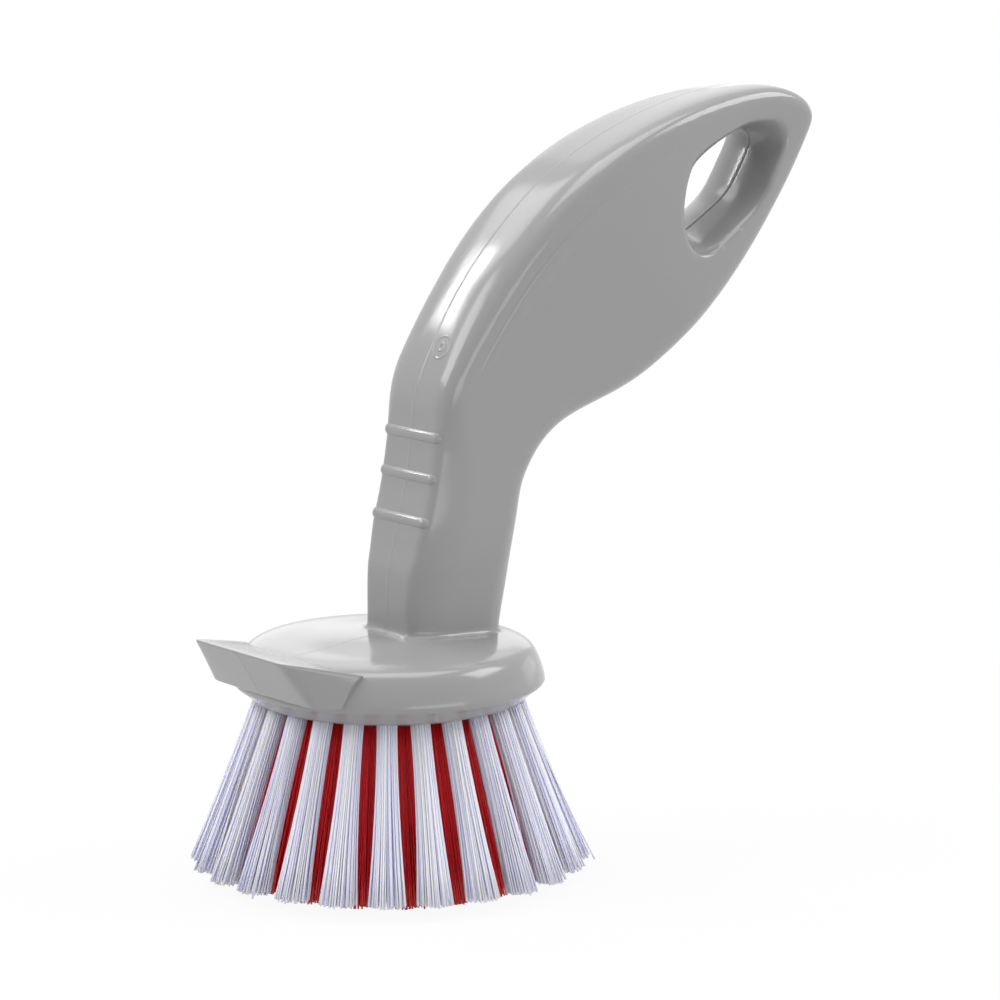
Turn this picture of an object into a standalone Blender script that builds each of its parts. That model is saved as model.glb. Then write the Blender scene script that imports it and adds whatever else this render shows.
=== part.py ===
"""Short-handled dish brush: one moulded body and forty-two stapled bristle tufts.

Lengths are in metres.  The brush is built round the axis of its round head, with the
scraper towards -X and the handle leaning back towards +X, and is then moved so that
the centre of the bottom of its bounding box is the origin.
"""
import math

import bmesh
import bpy
from mathutils import Vector

MM = 0.001

# Round head.  Heights are taken from the plane of its widest circle.
HEAD_RADIUS = 32.5 * MM
HEAD_RISE = 9.6 * MM
HEAD_SIDES = 48
RIM_DROP = 0.95 * MM
SKIRT_RADIUS = 28.6 * MM
SKIRT_DROP = 3.4 * MM
FACE_CURVE_RADIUS = 90.0 * MM
HEAD_TOP_SHARES = [
    (0.00, 1.00), (0.25, 0.985), (0.43, 0.955), (0.58, 0.92), (0.72, 0.89),
    (0.83, 0.845), (0.89, 0.78), (0.93, 0.68), (0.965, 0.45), (0.99, 0.16),
]
HEAD_RIM_SHARES = [(1.00, 0.00), (0.99, 0.62), (0.97, 1.00)]
FACE_RING_SHARES = [1.00, 0.80, 0.55, 0.30, 0.10]

# Handle and neck, one moulding with two smooth sides.  Each row of the outline is its
# place as a share of the reach and the rise, then the half width there and the depth
# and width of the edge rounding as shares of the widest half width.  The rows go up the
# outer side to the tail and down the inner side, so that the first and the last face
# each other.
HANDLE_REACH = 109.6 * MM
HANDLE_RISE = 118.4 * MM
HANDLE_HALF_WIDTH = 12.9 * MM
EDGE_STEPS = 4
EDGE_FULLNESS = 2.0
OUTLINE_SHARES = [
    (-0.004, 0.034, 0.77, 0.74, 0.27), (-0.004, 0.101, 0.77, 0.74, 0.27), (-0.004, 0.152, 0.77, 0.74, 0.27),
    (-0.003, 0.191, 0.79, 0.74, 0.27), (0.004, 0.211, 0.82, 0.74, 0.26), (0.012, 0.236, 0.84, 0.74, 0.26),
    (0.020, 0.270, 0.86, 0.74, 0.25), (0.030, 0.301, 0.87, 0.74, 0.25), (0.040, 0.339, 0.87, 0.74, 0.25),
    (0.047, 0.375, 0.87, 0.72, 0.25), (0.053, 0.414, 0.87, 0.66, 0.27), (0.057, 0.456, 0.87, 0.54, 0.33),
    (0.065, 0.502, 0.87, 0.44, 0.45), (0.085, 0.549, 0.87, 0.44, 0.62), (0.121, 0.609, 0.89, 0.48, 0.79),
    (0.173, 0.681, 0.92, 0.50, 0.89), (0.247, 0.759, 0.97, 0.50, 0.95), (0.336, 0.833, 1.00, 0.53, 0.98),
    (0.435, 0.892, 1.00, 0.56, 0.98), (0.563, 0.945, 0.96, 0.57, 0.94), (0.697, 0.982, 0.88, 0.53, 0.85),
    (0.807, 0.997, 0.81, 0.48, 0.79), (0.891, 1.000, 0.79, 0.43, 0.76), (0.951, 0.986, 0.78, 0.38, 0.73),
    (0.981, 0.968, 0.78, 0.35, 0.70), (0.997, 0.946, 0.77, 0.34, 0.68), (0.996, 0.924, 0.77, 0.34, 0.68),
    (0.985, 0.903, 0.78, 0.35, 0.65), (0.964, 0.868, 0.78, 0.37, 0.60), (0.930, 0.821, 0.80, 0.39, 0.54),
    (0.886, 0.768, 0.84, 0.39, 0.50), (0.837, 0.713, 0.88, 0.39, 0.46), (0.785, 0.662, 0.93, 0.39, 0.43),
    (0.732, 0.613, 0.96, 0.39, 0.42), (0.673, 0.569, 0.98, 0.39, 0.40), (0.611, 0.529, 0.96, 0.39, 0.40),
    (0.551, 0.495, 0.93, 0.38, 0.40), (0.489, 0.471, 0.91, 0.37, 0.39), (0.427, 0.453, 0.89, 0.36, 0.37),
    (0.373, 0.435, 0.87, 0.36, 0.35), (0.335, 0.416, 0.86, 0.34, 0.33), (0.305, 0.392, 0.85, 0.33, 0.31),
    (0.281, 0.365, 0.85, 0.31, 0.28), (0.262, 0.333, 0.84, 0.30, 0.25), (0.253, 0.299, 0.84, 0.30, 0.23),
    (0.247, 0.271, 0.84, 0.31, 0.21), (0.241, 0.244, 0.83, 0.32, 0.20), (0.236, 0.218, 0.82, 0.33, 0.20),
    (0.231, 0.187, 0.80, 0.35, 0.20), (0.223, 0.144, 0.79, 0.37, 0.20), (0.212, 0.093, 0.78, 0.38, 0.20),
    (0.204, 0.034, 0.78, 0.38, 0.20),
]

# Hang hole: a slanted teardrop, narrowest at mid width and flared at both faces.
HOLE_HALF_LENGTH = 19.0 * MM
HOLE_HALF_HEIGHT = 9.0 * MM
HOLE_SLOPE = math.radians(42.0)
HOLE_PLACE_SHARES = (0.781, 0.830)
HOLE_OUTLINE_SHARES = [
    (-0.74, 0.77), (-0.43, 1.22), (-0.23, 1.30), (0.08, 1.19), (0.45, 0.93), (0.63, 0.74),
    (0.81, 0.42), (0.93, 0.08), (0.90, -0.31), (0.76, -0.52), (0.55, -0.66), (0.33, -0.81),
    (0.05, -0.90), (-0.35, -0.75), (-0.75, -0.57), (-0.92, -0.26), (-0.93, 0.09), (-0.87, 0.40),
]
HOLE_STATION_SHARES = [
    (1.00, 1.09, 1.16), (0.84, 1.03, 1.05), (0.76, 0.97, 0.95), (0.49, 0.88, 0.84), (0.00, 0.83, 0.77),
]

# Thumb rest: a shallow flat recess with three half-round bars across it.
RECESS_HALF_WIDTH = 7.2 * MM
RECESS_DEPTH = 0.5 * MM
RECESS_ROWS = (4, 12)
RIB_HALF_LENGTH = 9.2 * MM
RIB_RADIUS = 1.15 * MM
RIB_STAND_OUT = 1.2 * MM
RIB_SIDES = 10
RIB_HEIGHT_SHARES = [0.281, 0.356, 0.428]

# Scraper: a lip that rises forward from the head's rim.  Half widths, reach from the
# head's axis and heights over the widest circle.
LIP_REACH = 38.7 * MM
LIP_RISE = 10.6 * MM
LIP_HALF_WIDTH = 15.0 * MM
LIP_FOOT_REACH = 31.9 * MM
LIP_FOOT_RISE = 0.9 * MM
LIP_FOOT_HALF_WIDTH = 17.7 * MM
LIP_ROOT_REACH = 21.8 * MM
LIP_ROOT_RISE = 6.4 * MM
LIP_ROOT_HALF_WIDTH = 21.2 * MM
LIP_HEEL_REACH = 24.4 * MM
LIP_HEEL_HALF_WIDTH = 20.4 * MM
LIP_VALLEY_REACH = 23.4 * MM
LIP_VALLEY_RISE = 7.7 * MM
LIP_EDGE_RADIUS = 0.45 * MM

# Bristle tufts: each is folded into a round blind hole of the head.  The first tuft of
# a ring stands off the front by its turn share of the pitch.
TUFT_HOLE_RADIUS = 2.3 * MM
TUFT_HOLE_DEPTH = 7.0 * MM
TUFT_HOLE_SIDES = 12
TUFT_CLEARANCE = 0.3 * MM
STRAND_SHARE = 0.80
OUTER_COUNT = 24
OUTER_TURN_SHARE = 0.5
OUTER_RING_RADIUS = 26.0 * MM
OUTER_TIP_RING_RADIUS = 38.5 * MM
OUTER_TIP_WIDTH = 4.1 * MM
OUTER_TIP_DEPTH = 2.9 * MM
OUTER_TIP_HEIGHT = 2.7 * MM
INNER_COUNT = 18
INNER_TURN_SHARE = 0.0
RING_SPACING = 6.5 * MM
TIP_RING_SPACING = 9.1 * MM
INNER_RING_RADIUS = OUTER_RING_RADIUS - RING_SPACING
INNER_TIP_RING_RADIUS = OUTER_TIP_RING_RADIUS - TIP_RING_SPACING
INNER_TIP_WIDTH = 2.8 * MM
INNER_TIP_DEPTH = 2.8 * MM

# The inner bristles reach lowest, and the brush stands on their trimmed ends.
STAND_HEIGHT = 41.3 * MM

CUT_OVERRUN = 2.0 * MM


def material(name, colour, roughness):
    """A plain Principled material."""
    made = bpy.data.materials.new(name)
    made.use_nodes = True
    shader = made.node_tree.nodes["Principled BSDF"]
    shader.inputs["Base Color"].default_value = (*colour, 1.0)
    shader.inputs["Roughness"].default_value = roughness
    made.diffuse_color = (*colour, 1.0)
    return made


def solid(name, points, faces, group, shade=True):
    """A mesh object from points and faces, with its normals turned outwards."""
    mesh = bpy.data.meshes.new(name)
    mesh.from_pydata([tuple(point) for point in points], [], faces)
    work = bmesh.new()
    work.from_mesh(mesh)
    bmesh.ops.recalc_face_normals(work, faces=work.faces)
    work.to_mesh(mesh)
    work.free()
    if shade:
        mesh.polygons.foreach_set("use_smooth", [True] * len(mesh.polygons))
    made = bpy.data.objects.new(name, mesh)
    group.objects.link(made)
    return made


def lofted(rings):
    """Points and faces of a closed solid through rings of equal length."""
    points = [point for ring in rings for point in ring]
    size = len(rings[0])
    faces = []
    for row in range(len(rings) - 1):
        for step in range(size):
            after = (step + 1) % size
            low = row * size
            high = low + size
            faces.append((low + step, low + after, high + after, high + step))
    faces.append(tuple(reversed(range(size))))
    last = (len(rings) - 1) * size
    faces.append(tuple(range(last, last + size)))
    return points, faces


def cutter(made):
    """Keep a tool solid out of the renders."""
    made.hide_render = True
    made.display_type = "WIRE"
    return made


def combine(target, tool, operation):
    """An exact Boolean on the target, applied as a modifier."""
    step = target.modifiers.new(operation.lower() + "_" + tool.name, "BOOLEAN")
    step.operation = operation
    step.solver = "EXACT"
    step.object = tool
    return step


def face_drop(radius):
    """Depth of the domed tufting face under the widest circle."""
    edge = math.sqrt(FACE_CURVE_RADIUS ** 2 - SKIRT_RADIUS ** 2)
    return SKIRT_DROP + math.sqrt(FACE_CURVE_RADIUS ** 2 - radius ** 2) - edge


def head_points():
    """Half section of the round head, from the top centre to the bottom centre."""
    section = [(HEAD_RADIUS * out, HEAD_RISE * up) for out, up in HEAD_TOP_SHARES]
    section += [(HEAD_RADIUS * out, -RIM_DROP * down) for out, down in HEAD_RIM_SHARES]
    section += [(SKIRT_RADIUS * out, -face_drop(SKIRT_RADIUS * out)) for out in FACE_RING_SHARES]
    section.append((0.0, -face_drop(0.0)))
    return section


def turned_head(group):
    """The head as a turned solid."""
    section = head_points()
    points = [(0.0, 0.0, STAND_HEIGHT + section[0][1])]
    for out, up in section[1:-1]:
        for step in range(HEAD_SIDES):
            turn = 2.0 * math.pi * step / HEAD_SIDES
            points.append((out * math.cos(turn), out * math.sin(turn), STAND_HEIGHT + up))
    points.append((0.0, 0.0, STAND_HEIGHT + section[-1][1]))
    faces = []
    rows = len(section) - 2
    last = len(points) - 1
    for step in range(HEAD_SIDES):
        after = (step + 1) % HEAD_SIDES
        faces.append((0, 1 + step, 1 + after))
        for row in range(rows - 1):
            low = 1 + row * HEAD_SIDES
            high = low + HEAD_SIDES
            faces.append((low + step, high + step, high + after, low + after))
        low = 1 + (rows - 1) * HEAD_SIDES
        faces.append((low + step, last, low + after))
    return solid("head", points, faces, group)


def outline():
    """Place, inward direction, half width and rounding of each row of the outline."""
    places = [
        Vector((HANDLE_REACH * row[0], HANDLE_RISE * row[1])) for row in OUTLINE_SHARES
    ]
    rows = []
    count = len(places)
    for index, place in enumerate(places):
        before = (place - places[index - 1]).normalized()
        after = (places[(index + 1) % count] - place).normalized()
        along = (before + after).normalized()
        inward = Vector((along.y, -along.x))
        half, depth, width = [HANDLE_HALF_WIDTH * share for share in OUTLINE_SHARES[index][2:]]
        rows.append((place, inward, half, depth, width))
    return rows


def edge_ring(turn):
    """One ring of the rounding: its section is a quarter of a superellipse."""
    ring = []
    for place, inward, half, depth, width in outline():
        power = 1.0 / (1.0 + 0.5 * EDGE_FULLNESS * width / half)
        point = place + inward * (depth * (1.0 - math.cos(turn) ** power))
        aside = half - width * (1.0 - math.sin(turn) ** power)
        ring.append((point.x, aside, STAND_HEIGHT + point.y))
    return ring


def handle_solid(group):
    """Neck and grip: the rounded outline, with each side ruled from row to facing row."""
    half = [edge_ring(0.5 * math.pi * step / EDGE_STEPS) for step in range(EDGE_STEPS + 1)]
    rings = [[(x, -y, z) for x, y, z in ring] for ring in reversed(half)] + half
    points, faces = lofted(rings)
    faces = faces[:-2]
    size = len(OUTLINE_SHARES)
    last = (len(rings) - 1) * size
    for step in range(size // 2 - 1):
        rung = (step, step + 1, size - 2 - step, size - 1 - step)
        faces.append(rung)
        faces.append(tuple(last + corner for corner in reversed(rung)))
    return solid("handle", points, faces, group)


def hole_tool(group):
    """The hang hole's tool, narrowest at mid width."""
    centre = Vector((HANDLE_REACH * HOLE_PLACE_SHARES[0], HANDLE_RISE * HOLE_PLACE_SHARES[1]))
    along = Vector((math.cos(HOLE_SLOPE), math.sin(HOLE_SLOPE)))
    across = Vector((-along.y, along.x))
    stations = HOLE_STATION_SHARES + [(-s[0], s[1], s[2]) for s in reversed(HOLE_STATION_SHARES[:-1])]
    rings = []
    for aside, longer, higher in stations:
        ring = []
        for reach, height in HOLE_OUTLINE_SHARES:
            point = centre + along * (HOLE_HALF_LENGTH * reach * longer)
            point = point + across * (HOLE_HALF_HEIGHT * height * higher)
            ring.append((point.x, HANDLE_HALF_WIDTH * aside, STAND_HEIGHT + point.y))
        rings.append(ring)
    points, faces = lofted(rings)
    return cutter(solid("hang_hole_tool", points, faces, group))


def recess_tool(group):
    """A shallow prism that follows the front of the neck."""
    first, last = RECESS_ROWS
    rows = outline()[first:last + 1]
    inner = []
    for index, (place, inward, _, _, _) in enumerate(rows):
        depth = 0.0 if index in (0, len(rows) - 1) else RECESS_DEPTH
        inner.append(place + inward * depth)
    outer = [place - inward * CUT_OVERRUN for place, inward, _, _, _ in rows]
    loop = inner + list(reversed(outer))
    rings = [
        [(point.x, side * RECESS_HALF_WIDTH, STAND_HEIGHT + point.y) for point in loop]
        for side in (-1.0, 1.0)
    ]
    points, faces = lofted(rings)
    return cutter(solid("thumb_recess_tool", points, faces, group, False))


def front_at(height):
    """Front of the neck's outline at a height over the widest circle."""
    rows = outline()
    for low, high in zip(rows, rows[1:]):
        if low[0].y <= height <= high[0].y:
            share = (height - low[0].y) / (high[0].y - low[0].y)
            return low[0].x + share * (high[0].x - low[0].x)
    return rows[0][0].x


def rib_solid(name, height, group):
    """One half-round bar with round ends, across the thumb rest."""
    centre_x = front_at(height) + RECESS_DEPTH - RIB_STAND_OUT + RIB_RADIUS
    straight = RIB_HALF_LENGTH - RIB_RADIUS
    stations = []
    for step in range(1, EDGE_STEPS):
        turn = 0.5 * math.pi * step / EDGE_STEPS
        stations.append((straight + RIB_RADIUS * math.cos(turn), RIB_RADIUS * math.sin(turn)))
    stations.append((straight, RIB_RADIUS))
    stations += [(-aside, radius) for aside, radius in reversed(stations)]
    rings = []
    for aside, radius in stations:
        ring = []
        for step in range(RIB_SIDES):
            turn = 2.0 * math.pi * step / RIB_SIDES
            x = centre_x + radius * math.cos(turn)
            z = STAND_HEIGHT + height + radius * math.sin(turn)
            ring.append((x, aside, z))
        rings.append(ring)
    points, faces = lofted(rings)
    return cutter(solid(name, points, faces, group))


def lip_solid(group):
    """The scraper: the hull of its front face, its valley and a foot inside the head."""
    inside = 0.5 * HEAD_RADIUS
    corners = []
    for side in (-1.0, 1.0):
        corners.append((-LIP_REACH, side * LIP_HALF_WIDTH, STAND_HEIGHT + LIP_RISE))
        corners.append((-LIP_FOOT_REACH, side * LIP_FOOT_HALF_WIDTH, STAND_HEIGHT + LIP_FOOT_RISE))
        corners.append((-LIP_ROOT_REACH, side * LIP_ROOT_HALF_WIDTH, STAND_HEIGHT + LIP_ROOT_RISE))
        corners.append((-inside, side * LIP_HALF_WIDTH, STAND_HEIGHT + LIP_FOOT_RISE))
        corners.append((-LIP_HEEL_REACH, side * LIP_HEEL_HALF_WIDTH, STAND_HEIGHT - 0.5 * RIM_DROP))
    corners.append((-LIP_VALLEY_REACH, 0.0, STAND_HEIGHT + LIP_VALLEY_RISE))
    work = bmesh.new()
    for corner in corners:
        work.verts.new(corner)
    bmesh.ops.convex_hull(work, input=work.verts)
    bmesh.ops.dissolve_limit(work, angle_limit=math.radians(2.0), verts=work.verts, edges=work.edges)
    rims = [
        edge for edge in work.edges
        if min(corner.co.x for corner in edge.verts) < -LIP_FOOT_REACH + LIP_EDGE_RADIUS
    ]
    bmesh.ops.bevel(
        work, geom=rims, offset=LIP_EDGE_RADIUS, segments=2, profile=0.5, affect="EDGES"
    )
    bmesh.ops.recalc_face_normals(work, faces=work.faces)
    mesh = bpy.data.meshes.new("lip")
    work.to_mesh(mesh)
    work.free()
    made = bpy.data.objects.new("lip", mesh)
    group.objects.link(made)
    return cutter(made)


def tuft_frames():
    """Name, ring, angle and tip sizes of every tuft."""
    rings = [
        ("outer", OUTER_COUNT, OUTER_TURN_SHARE, OUTER_RING_RADIUS, OUTER_TIP_RING_RADIUS,
         OUTER_TIP_WIDTH, OUTER_TIP_DEPTH, OUTER_TIP_HEIGHT),
        ("inner", INNER_COUNT, INNER_TURN_SHARE, INNER_RING_RADIUS, INNER_TIP_RING_RADIUS,
         INNER_TIP_WIDTH, INNER_TIP_DEPTH, 0.0),
    ]
    for name, count, share, ring, tip_ring, width, depth, tip_height in rings:
        for index in range(count):
            turn = math.pi + 2.0 * math.pi * (index + share) / count
            label = "tuft_%s_%02d" % (name, index + 1)
            yield label, turn, ring, tip_ring, width, depth, tip_height


def tuft_axes(turn, ring, tip_ring, tip_height):
    """Mouth of the hole, its axis out of the face, and the two directions across it."""
    out = Vector((math.cos(turn), math.sin(turn), 0.0))
    side = Vector((-math.sin(turn), math.cos(turn), 0.0))
    mouth = out * ring + Vector((0.0, 0.0, STAND_HEIGHT - face_drop(ring)))
    tip = out * tip_ring + Vector((0.0, 0.0, tip_height))
    axis = (tip - mouth).normalized()
    return mouth, tip, axis, side, axis.cross(side), out


def tuft_hole_tools(group):
    """All the blind holes as one tool."""
    points = []
    faces = []
    for _, turn, ring, tip_ring, _, _, tip_height in tuft_frames():
        mouth, _, axis, side, across, _ = tuft_axes(turn, ring, tip_ring, tip_height)
        rings = []
        for reach in (-TUFT_HOLE_DEPTH, CUT_OVERRUN):
            circle = []
            for step in range(TUFT_HOLE_SIDES):
                angle = 2.0 * math.pi * (step + 0.5) / TUFT_HOLE_SIDES
                rim = side * math.cos(angle) + across * math.sin(angle)
                circle.append(mouth + axis * reach + rim * TUFT_HOLE_RADIUS)
            rings.append(circle)
        more_points, more_faces = lofted(rings)
        shift = len(points)
        points += more_points
        faces += [tuple(index + shift for index in face) for face in more_faces]
    return cutter(solid("tuft_hole_tools", points, faces, group, False))


def disc_grid():
    """Four by four points of a square, drawn out to a disc of radius one."""
    steps = [-1.0, -1.0 / 3.0, 1.0 / 3.0, 1.0]
    grid = []
    for v in steps:
        row = []
        for u in steps:
            row.append((u * math.sqrt(1.0 - v * v / 2.0), v * math.sqrt(1.0 - u * u / 2.0)))
        grid.append(row)
    return grid


def tuft_solid(name, turn, ring, tip_ring, width, depth, tip_height, group):
    """Nine square strands that fan out of one round slug in the tuft's hole."""
    mouth, tip, axis, side, across, out = tuft_axes(turn, ring, tip_ring, tip_height)
    radius = TUFT_HOLE_RADIUS * math.cos(math.pi / TUFT_HOLE_SIDES) - TUFT_CLEARANCE
    grid = disc_grid()
    base = TUFT_HOLE_DEPTH - TUFT_CLEARANCE
    points = []
    faces = []

    def add(point):
        points.append(point)
        return len(points) - 1

    top = [
        [add(mouth - axis * TUFT_CLEARANCE + (side * u + across * v) * radius) for u, v in row]
        for row in grid
    ]
    border = [top[0][0], top[0][1], top[0][2], top[0][3], top[1][3], top[2][3],
              top[3][3], top[3][2], top[3][1], top[3][0], top[2][0], top[1][0]]
    foot = [add(points[index] - axis * (base - TUFT_CLEARANCE)) for index in border]
    faces.append(tuple(foot))
    for step in range(len(border)):
        after = (step + 1) % len(border)
        faces.append((border[step], border[after], foot[after], foot[step]))
    for row in range(len(grid) - 1):
        for column in range(len(grid) - 1):
            cell = [top[row][column], top[row][column + 1],
                    top[row + 1][column + 1], top[row + 1][column]]
            middle = sum((points[index] for index in cell), Vector()) / len(cell)
            local = middle - (mouth - axis * TUFT_CLEARANCE)
            u = local.dot(side) / radius
            v = local.dot(across) / radius
            goal = tip + side * (u * width) + out * (v * depth)
            root = []
            end = []
            for index in cell:
                offset = (points[index] - middle) * STRAND_SHARE
                root.append(add(middle + offset))
                along = (goal - middle).normalized()
                run = (tip_height - (goal + offset).z) / along.z
                end.append(add(goal + offset + along * run))
            for step in range(len(cell)):
                after = (step + 1) % len(cell)
                faces.append((cell[step], cell[after], root[after], root[step]))
                faces.append((root[step], root[after], end[after], end[step]))
            faces.append(tuple(end))
    return solid(name, points, faces, group, False)


def clear_startup():
    """Remove what the startup file brings."""
    for made in list(bpy.data.objects):
        bpy.data.objects.remove(made, do_unlink=True)


def collection(name):
    """A new collection in the scene."""
    made = bpy.data.collections.new(name)
    bpy.context.scene.collection.children.link(made)
    return made


def settle_on_origin(objects):
    """Move every mesh so that the middle of the base of the parts is the origin."""
    parts = [made for made in objects if not made.hide_render]
    lows = Vector((math.inf, math.inf, math.inf))
    highs = -lows
    for made in parts:
        for corner in made.data.vertices:
            for axis in range(3):
                lows[axis] = min(lows[axis], corner.co[axis])
                highs[axis] = max(highs[axis], corner.co[axis])
    shift = Vector((-(lows.x + highs.x) / 2.0, -(lows.y + highs.y) / 2.0, -lows.z))
    for made in objects:
        for corner in made.data.vertices:
            corner.co += shift
    return shift, highs - lows


def main():
    """Build the brush."""
    clear_startup()
    parts = collection("hand_brush")
    tools = collection("hand_brush_tools")
    grey = material("grey_plastic", (0.36, 0.36, 0.36), 0.25)
    white = material("white_bristle", (0.78, 0.79, 0.86), 0.5)
    red = material("red_bristle", (0.60, 0.01, 0.02), 0.45)

    body = handle_solid(parts)
    body.name = "brush_body"
    body.data.name = "brush_body"
    body.data.materials.append(grey)
    combine(body, recess_tool(tools), "DIFFERENCE")
    for index, share in enumerate(RIB_HEIGHT_SHARES):
        rib = rib_solid("thumb_rib_%d" % (index + 1), HANDLE_RISE * share, tools)
        combine(body, rib, "UNION")
    head = cutter(turned_head(tools))
    combine(head, lip_solid(tools), "UNION")
    combine(body, head, "UNION")
    combine(body, hole_tool(tools), "DIFFERENCE")
    combine(body, tuft_hole_tools(tools), "DIFFERENCE")

    strands = 0
    for label, turn, ring, tip_ring, width, depth, tip_height in tuft_frames():
        tuft = tuft_solid(label, turn, ring, tip_ring, width, depth, tip_height, parts)
        tuft.data.materials.append(white if "outer" in label else red)
        strands += (len(disc_grid()) - 1) ** 2
    shift, size = settle_on_origin(list(parts.objects) + list(tools.objects))
    print("strands", strands)
    print("head axis at x %.5f m" % shift.x)
    print("lowest point moved by %.5f m" % shift.z)


main()
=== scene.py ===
"""Short-handled dish brush: its finished surfaces, bristles and studio.

Lengths are in metres.  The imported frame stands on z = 0 with the scraper towards -X and
the handle leaning back towards +X; y = 0 is the plane of symmetry.
"""
import math

import bmesh
import bpy
import numpy as np
from mathutils import Matrix, Vector


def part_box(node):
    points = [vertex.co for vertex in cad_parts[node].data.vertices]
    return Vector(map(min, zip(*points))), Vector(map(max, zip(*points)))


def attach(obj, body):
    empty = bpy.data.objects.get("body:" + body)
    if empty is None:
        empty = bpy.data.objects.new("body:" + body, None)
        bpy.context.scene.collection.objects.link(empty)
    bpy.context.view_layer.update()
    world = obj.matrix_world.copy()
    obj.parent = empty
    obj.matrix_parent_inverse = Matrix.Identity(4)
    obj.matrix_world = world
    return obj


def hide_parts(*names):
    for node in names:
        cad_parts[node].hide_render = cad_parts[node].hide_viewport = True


bl_info = {
    "name": "Dish Brush",
    "version": (1, 0, 0),
    "blender": (4, 5, 0),
    "location": "View3D > Sidebar > Dish Brush",
    "description": "Builds a moulded dish brush with stapled bristle tufts",
    "category": "Add Mesh",
}

MM = 0.001

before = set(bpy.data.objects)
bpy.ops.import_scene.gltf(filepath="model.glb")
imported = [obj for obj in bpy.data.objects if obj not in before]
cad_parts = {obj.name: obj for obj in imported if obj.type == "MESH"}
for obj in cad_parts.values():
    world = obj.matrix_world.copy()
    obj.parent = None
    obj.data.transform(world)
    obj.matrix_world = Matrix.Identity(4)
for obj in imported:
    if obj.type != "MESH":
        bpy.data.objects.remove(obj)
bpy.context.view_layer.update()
BODY_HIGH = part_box("brush_body")[1]
TUFT_NODES = sorted(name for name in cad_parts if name.startswith("tuft_"))
TUFT_BOXES = {name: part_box(name) for name in TUFT_NODES}
HEAD_X = 0.5 * (
    min(low.x for low, high in TUFT_BOXES.values())
    + max(high.x for low, high in TUFT_BOXES.values())
)

# Outline of the neck and grip in the plane of symmetry, up the outer side to the tail
# and down the inner side.  Each row is the reach from the head's axis and the rise over
# its widest circle as shares of the whole, then the half width, and the depth and width
# of the edge rounding, as shares of the widest half width.
OUTLINE_SHARES = [
    (-0.004, 0.034, 0.77, 0.74, 0.27), (-0.004, 0.101, 0.77, 0.74, 0.27),
    (-0.004, 0.152, 0.77, 0.74, 0.27), (-0.001, 0.190, 0.79, 0.72, 0.27),
    (0.005, 0.211, 0.81, 0.72, 0.26), (0.012, 0.236, 0.84, 0.74, 0.26),
    (0.020, 0.270, 0.86, 0.74, 0.25), (0.030, 0.301, 0.87, 0.74, 0.25),
    (0.040, 0.339, 0.87, 0.74, 0.25), (0.047, 0.375, 0.87, 0.72, 0.25),
    (0.053, 0.414, 0.87, 0.66, 0.27), (0.057, 0.456, 0.87, 0.54, 0.33),
    (0.065, 0.502, 0.87, 0.44, 0.45), (0.085, 0.549, 0.87, 0.44, 0.62),
    (0.121, 0.609, 0.89, 0.48, 0.79), (0.173, 0.681, 0.92, 0.50, 0.89),
    (0.247, 0.759, 0.97, 0.50, 0.95), (0.336, 0.833, 1.00, 0.53, 0.98),
    (0.435, 0.892, 1.00, 0.56, 0.98), (0.563, 0.945, 0.96, 0.57, 0.94),
    (0.697, 0.982, 0.88, 0.53, 0.85), (0.807, 0.997, 0.81, 0.48, 0.79),
    (0.891, 1.000, 0.79, 0.43, 0.76), (0.951, 0.986, 0.78, 0.38, 0.73),
    (0.981, 0.968, 0.78, 0.35, 0.70), (0.997, 0.946, 0.77, 0.34, 0.68),
    (0.996, 0.924, 0.77, 0.34, 0.68), (0.985, 0.903, 0.78, 0.35, 0.65),
    (0.964, 0.868, 0.78, 0.37, 0.60), (0.930, 0.821, 0.80, 0.39, 0.54),
    (0.886, 0.768, 0.84, 0.39, 0.50), (0.837, 0.713, 0.88, 0.39, 0.46),
    (0.785, 0.662, 0.93, 0.39, 0.43), (0.732, 0.613, 0.96, 0.39, 0.42),
    (0.673, 0.569, 0.98, 0.39, 0.40), (0.611, 0.529, 0.96, 0.39, 0.40),
    (0.551, 0.495, 0.93, 0.38, 0.40), (0.489, 0.471, 0.91, 0.37, 0.39),
    (0.427, 0.453, 0.89, 0.36, 0.37), (0.373, 0.435, 0.87, 0.36, 0.35),
    (0.335, 0.416, 0.86, 0.34, 0.33), (0.305, 0.392, 0.85, 0.33, 0.31),
    (0.281, 0.365, 0.85, 0.31, 0.28), (0.262, 0.333, 0.84, 0.30, 0.25),
    (0.253, 0.299, 0.84, 0.30, 0.23), (0.247, 0.271, 0.84, 0.31, 0.21),
    (0.241, 0.244, 0.83, 0.32, 0.20), (0.236, 0.218, 0.82, 0.33, 0.20),
    (0.231, 0.187, 0.80, 0.35, 0.20), (0.223, 0.144, 0.79, 0.37, 0.20),
    (0.212, 0.093, 0.78, 0.38, 0.20), (0.204, 0.034, 0.78, 0.38, 0.20),
]
# How square the edge rounding is, by row of the outline: 2 is an ellipse, more is squarer.
EDGE_POWERS = [
    (0.0, 2.0), (10.0, 2.0), (11.0, 2.3), (12.0, 3.0), (13.0, 4.2), (15.0, 3.5), (17.5, 4.5),
    (18.5, 5.5), (19.3, 5.0), (20.2, 4.0), (24.0, 3.2), (27.0, 2.9), (29.0, 2.9), (31.0, 2.5),
    (33.0, 2.0), (39.0, 1.9), (42.0, 1.8), (44.0, 1.6), (45.0, 1.5), (51.0, 1.5),
]

# Thumb recess: the rows of the outline where it starts and ends, its depth, the distance
# aside by which its ends bend away, and the distances aside between which its edges rise.
RECESS_ROWS = (2.6, 12.3)
RECESS_DEPTH = 0.5 * MM
RECESS_BEND = 7.2 * MM
RECESS_EDGE = (6.7 * MM, 7.7 * MM)

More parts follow.
